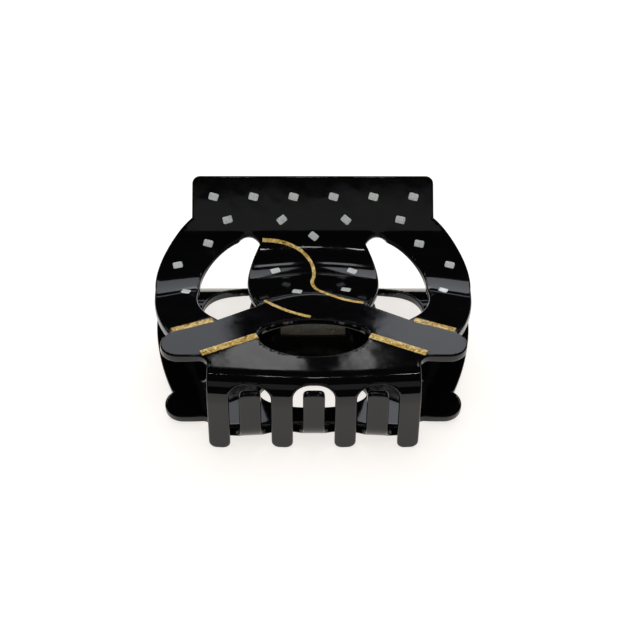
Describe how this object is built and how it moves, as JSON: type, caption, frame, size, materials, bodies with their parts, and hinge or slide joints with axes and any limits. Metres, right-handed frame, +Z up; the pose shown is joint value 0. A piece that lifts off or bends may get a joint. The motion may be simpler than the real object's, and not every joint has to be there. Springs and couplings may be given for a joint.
{
  "type": "hair claw clip",
  "caption": "Hair claw clip: two curved sheet jaws with arched interlocking teeth, press tabs, ring openings, a spring hinge, set stones and gold lines.",
  "frame": {"origin": "centre of the bounding box's base, on the surface that the closed clip lies on", "axes": "+X across the clip, parallel to the hinge pin; -Y towards the teeth, +Y towards the press tabs; +Z up"},
  "size_m": [0.088, 0.0776, 0.0455],
  "materials": {
    "acetate": "polished black cellulose acetate sheet",
    "crystal": "foiled oblong crystal stones",
    "gold_glitter": "gold glitter set in clear resin",
    "nickel": "nickel-plated stamped steel",
    "spring_steel": "drawn spring wire"
  },
  "bodies": {
    "rear": {"rear_jaw": "acetate", "rear_stones_tab_upper": "crystal", "rear_stones_tab_lower": "crystal", "rear_stones_ring_left": "crystal", "rear_stones_ring_right": "crystal", "rear_stones_disc": "crystal", "rear_ring_line_left": "gold_glitter", "rear_ring_line_right": "gold_glitter", "rear_shoulder_line_left": "gold_glitter", "rear_shoulder_line_right": "gold_glitter", "rear_disc_curve": "gold_glitter", "rear_disc_line": "gold_glitter", "rear_leaf": "nickel", "rear_rivets": "nickel", "torsion_spring": "spring_steel", "hinge_pin": "nickel"},
    "front": {"front_jaw": "acetate", "front_stones_tab_upper": "crystal", "front_stones_tab_lower": "crystal", "front_stones_ring_left": "crystal", "front_stones_ring_right": "crystal", "front_stones_disc": "crystal", "front_ring_line_left": "gold_glitter", "front_ring_line_right": "gold_glitter", "front_shoulder_line_left": "gold_glitter", "front_shoulder_line_right": "gold_glitter", "front_disc_curve": "gold_glitter", "front_disc_line": "gold_glitter", "front_leaf": "nickel", "front_rivets": "nickel", "spring_front_leg": "spring_steel"}
  },
  "joints": [
    {"name": "jaw_hinge", "type": "hinge", "parent": "rear", "child": "front", "pos_m": [0, 0.00654, 0.01852], "axis": [-1, 0, 0], "range_deg": [0, 45], "stiffness_Nm_per_rad": 0.15, "springref_deg": -45.84}
  ]
}
